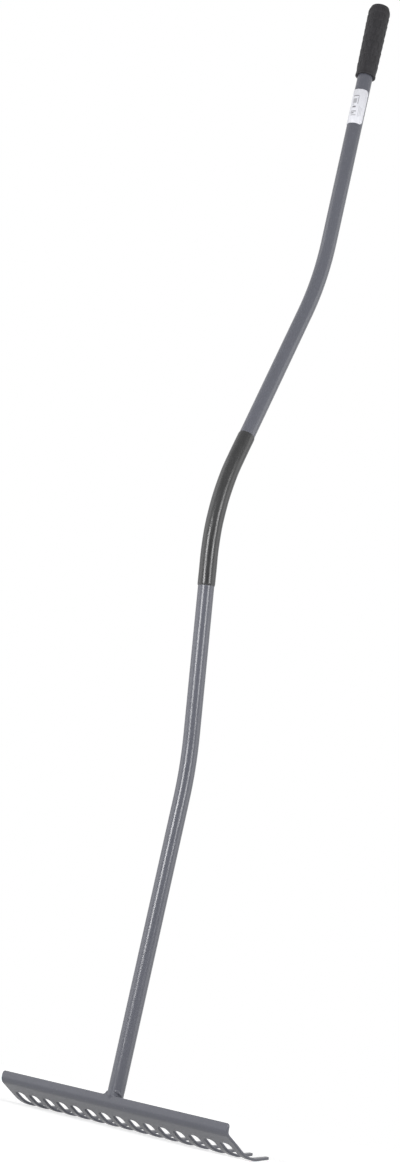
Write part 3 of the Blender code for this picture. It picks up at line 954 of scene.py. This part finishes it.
# %% Where the label and its marks sit
LABEL_WIDTH = 40 * MM
LABEL_CORNER = 5.5 * MM
LABEL_THICKNESS = 0.25 * MM
label_low, label_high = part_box("paper_label")
label_middle = (label_low.z + label_high.z) / 2

# Each mark in mm: its middle round the shaft and up the label, half its width and height; then its strength
MARKS = [
    (-15.5, 16.0, 4.5, 0.7, 0.75),
    (-11.0, 9.0, 0.6, 6.0, 0.55),
    (-16.0, 8.0, 2.8, 3.6, 0.5),
    (-15.5, -1.5, 2.6, 1.3, 0.75),
    (-15.0, -8.6, 3.6, 0.9, 0.6),
    (-16.5, -11.4, 2.2, 0.9, 0.8),
    (-14.5, -14.6, 3.8, 0.7, 0.5),
    (-17.5, 2.6, 1.6, 0.6, 0.5),
]
MARKS += [(-8.0 + 1.9 * line, -8.5, 0.35, 8.5 - line, 0.35) for line in range(3)]
print("the label has", len(MARKS), "plain marks")

# %% Coated paper
FIBRE_SIZE, FIBRE_DEPTH = 1.2 * MM, 0.02 * MM


def printed_marks(tree, place):
    """How strong the ink is at each point of the label."""
    parts = add_node(tree, "SeparateXYZ", {"Vector": place})
    turn = add_node(tree, "Math", {0: parts.outputs["Y"], 1: parts.outputs["X"]}, operation="ARCTAN2")
    round_mm = add_node(tree, "Math", {0: turn, 1: TUBE_RADIUS / MM}, operation="MULTIPLY")
    high = add_node(tree, "Math", {0: parts.outputs["Z"], 1: label_middle}, operation="SUBTRACT")
    high_mm = add_node(tree, "Math", {0: high, 1: 1 / MM}, operation="MULTIPLY")
    ink = None
    for round_middle, high_middle, half_width, half_height, strength in MARKS:
        wide = add_node(tree, "Math", {0: round_mm, 1: round_middle, 2: half_width}, operation="COMPARE")
        tall = add_node(tree, "Math", {0: high_mm, 1: high_middle, 2: half_height}, operation="COMPARE")
        mark = add_node(tree, "Math", {0: wide, 1: tall}, operation="MULTIPLY")
        mark = add_node(tree, "Math", {0: mark, 1: strength}, operation="MULTIPLY")
        ink = mark if ink is None else add_node(tree, "Math", {0: ink, 1: mark}, operation="MAXIMUM")
    return ink


def coated_paper():
    """White paper with a soft gloss, and grey ink where the marks are."""
    material, tree, shader, place = new_material("coated_paper", {"IOR": 1.5, "Roughness": 0.42})
    fibre = add_node(tree, "TexNoise", {"Vector": place, "Scale": 1 / FIBRE_SIZE, "Detail": 4})
    paper_inputs = {FACTOR: fibre, COLOUR_A: linear("cecfd5"), COLOUR_B: linear("dadae0")}
    bare = add_node(tree, "Mix", paper_inputs, data_type="RGBA").outputs[COLOUR_OUT]
    ink_inputs = {FACTOR: printed_marks(tree, place), COLOUR_A: bare, COLOUR_B: linear("4a4a4e")}
    printed = add_node(tree, "Mix", ink_inputs, data_type="RGBA").outputs[COLOUR_OUT]
    skin = add_node(tree, "Bump", {"Height": fibre, "Distance": FIBRE_DEPTH})
    fill_inputs(tree, shader, {"Base Color": printed, "Normal": skin})
    return material


paper = coated_paper()
print("material made:", paper.name)

# %% The label
LABEL_COLUMNS = 120
LABEL_TUCK = 0.05 * MM
LABEL_BREAK = 0.2 * MM
LABEL_BREAK_SHARE = 0.6
DEEPEST_CUT = 0.98 * LABEL_CORNER


def label_edge(across):
    """Half the label's height at a share of its half width: full in the middle, less in the round corners."""
    into_corner = max(0.0, across * LABEL_WIDTH / 2 - (LABEL_WIDTH / 2 - LABEL_CORNER))
    cut = LABEL_CORNER - math.sqrt(max(0.0, LABEL_CORNER**2 - into_corner**2))
    return (label_high.z - label_low.z) / 2 - min(cut, DEEPEST_CUT)


def make_label():
    """A thin curved sheet, column by column round the shaft, with its rims turned in to the tube."""
    tucked, inner = TUBE_RADIUS - LABEL_TUCK, TUBE_RADIUS + FIT
    rim, face = inner + LABEL_BREAK_SHARE * LABEL_THICKNESS, inner + LABEL_THICKNESS
    half_turn = LABEL_WIDTH / inner / 2
    rings = []
    for column in range(LABEL_COLUMNS + 1):
        share = 2 * column / LABEL_COLUMNS - 1
        turn = -math.pi / 2 + half_turn * share
        out_x, out_y = math.cos(turn), math.sin(turn)
        edge = label_edge(abs(share))
        lower = [(tucked, -edge), (rim, -edge), (face, -edge + LABEL_BREAK)]
        upper = [(face, edge - LABEL_BREAK), (rim, edge), (tucked, edge)]
        rings.append([(r * out_x, top_y + r * out_y, label_middle + height) for r, height in lower + upper])
    label = add_solid("wrapped_label", rings)
    finish_piece(label, paper, "paper_label", smooth_angle=30)


make_label()

# %% [markdown]
# The camera
#
# The camera stands where the photograph was taken from: low, level with the head and off to its right, so
# that it looks up the shaft. Its place and tilt come from fitting a pinhole camera to the shaft's edges and
# bends, and a lens of 67 mm on a 36 mm sensor gives the same perspective. Two of its axes are written out,
# its right and its back, and the third follows from them.

# %% Camera
CAMERA_FROM_FOOT = Vector((2.01888, -1.99557, 0.02838))
CAMERA_RIGHT = Vector((0.7117, 0.6688, 0.2149))
CAMERA_BACK = Vector((0.7025, -0.6754, -0.2245))


def make_camera():
    """A camera at its place from the foot, with its two written axes made square to each other."""
    data = bpy.data.cameras.new("camera")
    data.sensor_fit, data.sensor_width, data.lens = "AUTO", 36.0, 67.04
    data.clip_start, data.clip_end = 0.05, 50
    camera = bpy.data.objects.new("camera", data)
    bpy.context.scene.collection.objects.link(camera)
    back = CAMERA_BACK.normalized()
    right = (CAMERA_RIGHT - back * CAMERA_RIGHT.dot(back)).normalized()
    turned = Matrix((right, back.cross(right), back)).transposed().to_4x4()
    camera.matrix_world = Matrix.Translation(FOOT + CAMERA_FROM_FOOT) @ turned
    bpy.context.scene.camera = camera


make_camera()
print("the camera is", round(CAMERA_FROM_FOOT.length, 2), "m from the foot")

# %% [markdown]
# Studio light
#
# The rake stands in a white studio. Two upright softboxes, one on each side of the camera, give the two pale
# stripes down the lower shaft: a stripe is the mirror image of a lamp, so its place across the tube gives the
# lamp's bearing, and where it starts and stops gives the lamp's height. Two wide, weaker lamps stand further
# round to the left and the right. They graze the tube's two flanks, and that is what makes it look round.

# %% Softboxes
LAMP_DISTANCE = 1.9


def make_softbox(name, bearing, low, high, width, watts):
    """An upright area lamp that faces the shaft; bearing in degrees from +X, low and high above the foot."""
    data = bpy.data.lights.new(name, "AREA")
    data.shape, data.size, data.size_y, data.energy = "RECTANGLE", width, high - low, watts
    lamp = bpy.data.objects.new(name, data)
    bpy.context.scene.collection.objects.link(lamp)
    turn = math.radians(bearing)
    outward = Vector((math.cos(turn), math.sin(turn), 0.0))
    lamp.location = FOOT + outward * LAMP_DISTANCE + Vector((0.0, 0.0, (low + high) / 2))
    lamp.rotation_euler = outward.to_track_quat("Z", "Y").to_euler()
    lamp.visible_camera = False


make_softbox("softbox_left", bearing=-84, low=0.22, high=1.10, width=0.55, watts=25)
make_softbox("softbox_right", bearing=-9, low=0.50, high=1.55, width=0.46, watts=20)
make_softbox("backlight_left", bearing=-135, low=0.0, high=2.2, width=1.5, watts=15)
make_softbox("backlight_right", bearing=42, low=0.0, high=2.2, width=1.4, watts=14)
print("two softboxes and two backlights stand", LAMP_DISTANCE, "m from the shaft")

# %% [markdown]
# White surroundings and floor
#
# The world is plain white where the camera or a reflection looks at it, and dimmer where it lights the rake,
# so that colours render about as they are written. Reflections find it dark in one place, low down behind the
# camera, where the studio is an unlit room: with white there too, the middle of the shaft would look chalky.
# The floor is white card. It is a real surface, so the rake throws its soft shadow on it, and a glow that
# only the camera and reflections see lifts the rest of it to the white of the background. The lamps light
# the card less and less away from the rake, so the glow grows with the distance.

# %% What looks and what is lit
def seen_directly(tree):
    """1 for what the camera, a reflection or a refraction looks at, and 0 for light that falls on things."""
    path = add_node(tree, "LightPath")
    looks = [path.outputs["Is " + kind + " Ray"] for kind in ("Camera", "Glossy", "Transmission")]
    either = add_node(tree, "Math", {0: looks[0], 1: looks[1]}, operation="MAXIMUM")
    return add_node(tree, "Math", {0: either, 1: looks[2]}, operation="MAXIMUM")


print("cameras, reflections and refractions look; all other rays carry light")

# %% World
AMBIENT = 0.3
DIM_SIDE = (0.69, -0.72, 0.0)
DIM_BY = 0.85
DIM_HEIGHT = 0.16
DIM_EDGE, DIM_CORE = 0.35, 0.85


def dim_side(tree):
    """1 low down on the side of the room that lies behind the camera, and 0 everywhere else."""
    direction = add_node(tree, "TexCoord").outputs["Generated"]
    height = add_node(tree, "SeparateXYZ", {"Vector": direction}).outputs["Z"]
    along = add_node(tree, "VectorMath", {0: direction, 1: DIM_SIDE}, operation="DOT_PRODUCT")
    facing = along.outputs["Value"]
    above = add_node(tree, "Math", {0: height}, operation="ABSOLUTE")
    low_range = {"From Max": DIM_HEIGHT, "To Min": 1.0, "To Max": 0.0}
    low = add_node(tree, "MapRange", {"Value": above, **low_range}, interpolation_type="SMOOTHSTEP")
    near_range = {"From Min": DIM_EDGE, "From Max": DIM_CORE}
    near = add_node(tree, "MapRange", {"Value": facing, **near_range}, interpolation_type="SMOOTHSTEP")
    return add_node(tree, "Math", {0: low, 1: near}, operation="MULTIPLY")


def make_world():
    """White to look at, dimmer as light, and dark on its dim side except to the camera."""
    world = bpy.data.worlds.new("studio")
    world.use_nodes = True
    tree = world.node_tree
    tree.nodes.clear()
    white = add_node(tree, "MapRange", {"Value": seen_directly(tree), "To Min": AMBIENT, "To Max": 1.0})
    camera_ray = add_node(tree, "LightPath").outputs["Is Camera Ray"]
    off_camera = add_node(tree, "MapRange", {"Value": camera_ray, "To Min": DIM_BY, "To Max": 0.0})
    dark = add_node(tree, "Math", {0: dim_side(tree), 1: off_camera}, operation="MULTIPLY")
    kept = add_node(tree, "Math", {0: 1.0, 1: dark}, operation="SUBTRACT")
    strength = add_node(tree, "Math", {0: white, 1: kept}, operation="MULTIPLY")
    light = add_node(tree, "Background", {"Color": (1, 1, 1, 1), "Strength": strength})
    add_node(tree, "OutputWorld", {"Surface": light})
    bpy.context.scene.world = world


make_world()
bpy.context.scene.view_settings.view_transform = "Standard"
print("white world, at", AMBIENT, "where it lights the rake")

# %% Floor
FLOOR_REACH = 6
FLOOR_SIDES = 96
FLOOR_BELOW = 1 * MM
FLOOR_GLOW, FAR_GLOW = 0.46, 0.86
GLOW_FROM, GLOW_TO = 0.35, 1.5


def make_floor():
    """A round sheet of white card, with a glow for what looks at it that grows away from the rake."""
    turns = full_turn(FLOOR_SIDES)
    level = cad_low.z - FLOOR_BELOW
    rim = [(FLOOR_REACH * math.cos(t), FOOT.y + FLOOR_REACH * math.sin(t), level) for t in turns]
    floor = add_piece("floor", rim, [tuple(range(len(rim)))])
    card_values = {"Base Color": linear("d8d8d8"), "Roughness": 0.9, "Specular IOR Level": 0.1}
    material, tree, card, place = new_material("white_card", card_values)
    middle = (0.0, FOOT.y, cad_low.z)
    away = add_node(tree, "VectorMath", {0: place, 1: middle}, operation="DISTANCE").outputs["Value"]
    glow_range = {"From Min": GLOW_FROM, "From Max": GLOW_TO, "To Min": FLOOR_GLOW, "To Max": FAR_GLOW}
    lift = add_node(tree, "MapRange", {"Value": away, **glow_range})
    strength = add_node(tree, "Math", {0: seen_directly(tree), 1: lift}, operation="MULTIPLY")
    glow = add_node(tree, "Emission", {"Color": (1, 1, 1, 1), "Strength": strength})
    both = add_node(tree, "AddShader", {0: card, 1: glow})
    fill_inputs(tree, tree.nodes["Material Output"], {"Surface": both})
    floor.data.materials.append(material)


make_floor()
print("the floor is just under the tines")
